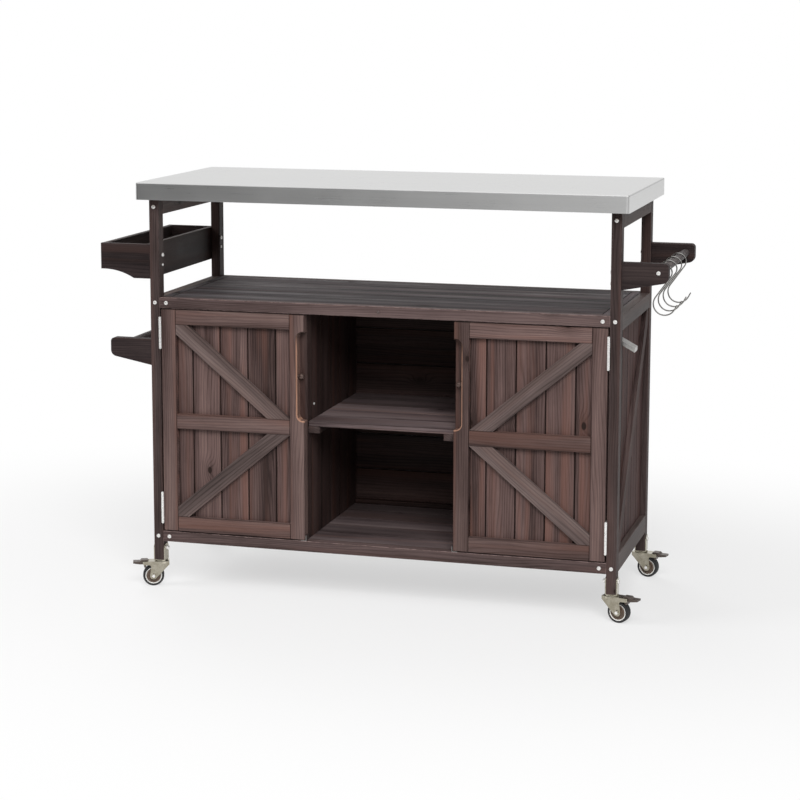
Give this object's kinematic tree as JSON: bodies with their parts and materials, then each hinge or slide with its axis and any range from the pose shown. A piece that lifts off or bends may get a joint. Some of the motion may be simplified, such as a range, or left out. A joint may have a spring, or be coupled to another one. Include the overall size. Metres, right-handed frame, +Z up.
{
  "type": "outdoor kitchen island",
  "caption": "Outdoor kitchen island on braked casters: steel worktop over an open deck, plank doors beside a shelf bay, and a spice rack, towel rod, hook rod and bottle opener on the ends.",
  "frame": {"origin": "on the floor under the middle of the worktop", "axes": "+X along the worktop to the viewer's right, -Y towards the front with the doors, +Z up"},
  "size_m": [1.2856, 0.47, 0.922],
  "materials": {
    "dark_wood": "stained",
    "board_wood": "stained",
    "core_wood": "raw",
    "steel_top": "brushed",
    "bright_steel": "polished",
    "zinc_steel": "zinc",
    "bronze_metal": "satin",
    "opener_metal": "satin",
    "tyre": "matte"
  },
  "bodies": {
    "cabinet": {"posts": "dark_wood", "side_rails": "dark_wood", "front_rails": "dark_wood", "rear_rails": "dark_wood", "end_strips": "dark_wood", "side_boards": "dark_wood", "side_braces": "dark_wood", "back_boards": "dark_wood", "back_cleat": "dark_wood", "partitions": "dark_wood", "shelf_cleats": "dark_wood", "rack_ends": "dark_wood", "rack_outer_board": "dark_wood", "rack_inner_board": "dark_wood", "rack_floor": "dark_wood", "hook_arms": "dark_wood", "towel_arms": "dark_wood", "hook_rod": "dark_wood", "towel_rod": "dark_wood", "deck_boards": "board_wood", "floor_boards": "board_wood", "shelf_boards": "board_wood", "frame_bolts": "bright_steel", "rack_bolts": "bright_steel", "small_screws": "bright_steel", "post_hinge_leaves": "bright_steel", "door_stops": "bright_steel", "worktop_skin": "steel_top", "worktop_core": "core_wood", "bottle_opener": "opener_metal", "caster_saddles": "bronze_metal", "saddle_bolts": "bright_steel"},
    "left_door": {"left_door_frame": "dark_wood", "left_door_braces": "dark_wood", "left_door_boards": "dark_wood", "left_door_knob": "bronze_metal", "left_door_hinge_leaves": "bright_steel"},
    "right_door": {"right_door_frame": "dark_wood", "right_door_braces": "dark_wood", "right_door_boards": "dark_wood", "right_door_knob": "bronze_metal", "right_door_hinge_leaves": "bright_steel"},
    "front_left_swivel": {"front_left_fork": "zinc_steel"},
    "front_left_wheel": {"front_left_wheel": "tyre"},
    "front_left_pedal": {"front_left_pedal": "bronze_metal"},
    "front_right_swivel": {"front_right_fork": "zinc_steel"},
    "front_right_wheel": {"front_right_wheel": "tyre"},
    "front_right_pedal": {"front_right_pedal": "bronze_metal"},
    "rear_left_swivel": {"rear_left_fork": "zinc_steel"},
    "rear_left_wheel": {"rear_left_wheel": "tyre"},
    "rear_left_pedal": {"rear_left_pedal": "bronze_metal"},
    "rear_right_swivel": {"rear_right_fork": "zinc_steel"},
    "rear_right_wheel": {"rear_right_wheel": "tyre"},
    "rear_right_pedal": {"rear_right_pedal": "bronze_metal"},
    "hook_1": {"hook_1": "bright_steel"},
    "hook_2": {"hook_2": "bright_steel"},
    "hook_3": {"hook_3": "bright_steel"},
    "hook_4": {"hook_4": "bright_steel"}
  },
  "joints": [
    {"name": "left_door_hinge", "type": "hinge", "parent": "cabinet", "child": "left_door", "pos_m": [-0.5065, -0.2085, 0.38515], "axis": [0, 0, -1], "range_deg": [0, 170]},
    {"name": "right_door_hinge", "type": "hinge", "parent": "cabinet", "child": "right_door", "pos_m": [0.5065, -0.2085, 0.38515], "axis": [0, 0, 1], "range_deg": [0, 170]},
    {"name": "front_left_swivel_turn", "type": "hinge", "parent": "cabinet", "child": "front_left_swivel", "pos_m": [-0.519, -0.191, 0.055], "axis": [0, 0, 1], "continuous": true},
    {"name": "front_left_wheel_spin", "type": "hinge", "parent": "front_left_swivel", "child": "front_left_wheel", "pos_m": [-0.53569, -0.19774, 0.024], "axis": [0.3746, -0.9272, 0], "continuous": true},
    {"name": "front_left_brake", "type": "hinge", "parent": "front_left_swivel", "child": "front_left_pedal", "pos_m": [-0.55331, -0.20486, 0.054], "axis": [0.3746, -0.9272, 0], "range_deg": [0, 14]},
    {"name": "front_right_swivel_turn", "type": "hinge", "parent": "cabinet", "child": "front_right_swivel", "pos_m": [0.519, -0.191, 0.055], "axis": [0, 0, 1], "continuous": true},
    {"name": "front_right_wheel_spin", "type": "hinge", "parent": "front_right_swivel", "child": "front_right_wheel", "pos_m": [0.53639, -0.19566, 0.024], "axis": [0.2588, 0.9659, 0], "continuous": true},
    {"name": "front_right_brake", "type": "hinge", "parent": "front_right_swivel", "child": "front_right_pedal", "pos_m": [0.55474, -0.20058, 0.054], "axis": [0.2588, 0.9659, 0], "range_deg": [0, 14]},
    {"name": "rear_left_swivel_turn", "type": "hinge", "parent": "cabinet", "child": "rear_left_swivel", "pos_m": [-0.519, 0.191, 0.055], "axis": [0, 0, 1], "continuous": true},
    {"name": "rear_left_wheel_spin", "type": "hinge", "parent": "rear_left_swivel", "child": "rear_left_wheel", "pos_m": [-0.53661, 0.19474, 0.024], "axis": [-0.2079, -0.9781, 0], "continuous": true},
    {"name": "rear_left_brake", "type": "hinge", "parent": "rear_left_swivel", "child": "rear_left_pedal", "pos_m": [-0.55519, 0.19869, 0.054], "axis": [-0.2079, -0.9781, 0], "range_deg": [0, 14]},
    {"name": "rear_right_swivel_turn", "type": "hinge", "parent": "cabinet", "child": "rear_right_swivel", "pos_m": [0.519, 0.191, 0.055], "axis": [0, 0, 1], "continuous": true},
    {"name": "rear_right_wheel_spin", "type": "hinge", "parent": "rear_right_swivel", "child": "rear_right_wheel", "pos_m": [0.53667, 0.18757, 0.024], "axis": [0.1908, 0.9816, 0], "continuous": true},
    {"name": "rear_right_brake", "type": "hinge", "parent": "rear_right_swivel", "child": "rear_right_pedal", "pos_m": [0.55532, 0.18394, 0.054], "axis": [0.1908, 0.9816, 0], "range_deg": [0, 14]},
    {"name": "hook_1_swing", "type": "hinge", "parent": "cabinet", "child": "hook_1", "pos_m": [0.608, -0.13, 0.758], "axis": [0, 1, 0], "range_deg": [-60, 20]},
    {"name": "hook_2_swing", "type": "hinge", "parent": "cabinet", "child": "hook_2", "pos_m": [0.608, -0.062, 0.758], "axis": [0, 1, 0], "range_deg": [-60, 20]},
    {"name": "hook_3_swing", "type": "hinge", "parent": "cabinet", "child": "hook_3", "pos_m": [0.608, 0.006, 0.758], "axis": [0, 1, 0], "range_deg": [-60, 20]},
    {"name": "hook_4_swing", "type": "hinge", "parent": "cabinet", "child": "hook_4", "pos_m": [0.608, 0.074, 0.758], "axis": [0, 1, 0], "range_deg": [-60, 20]}
  ]
}
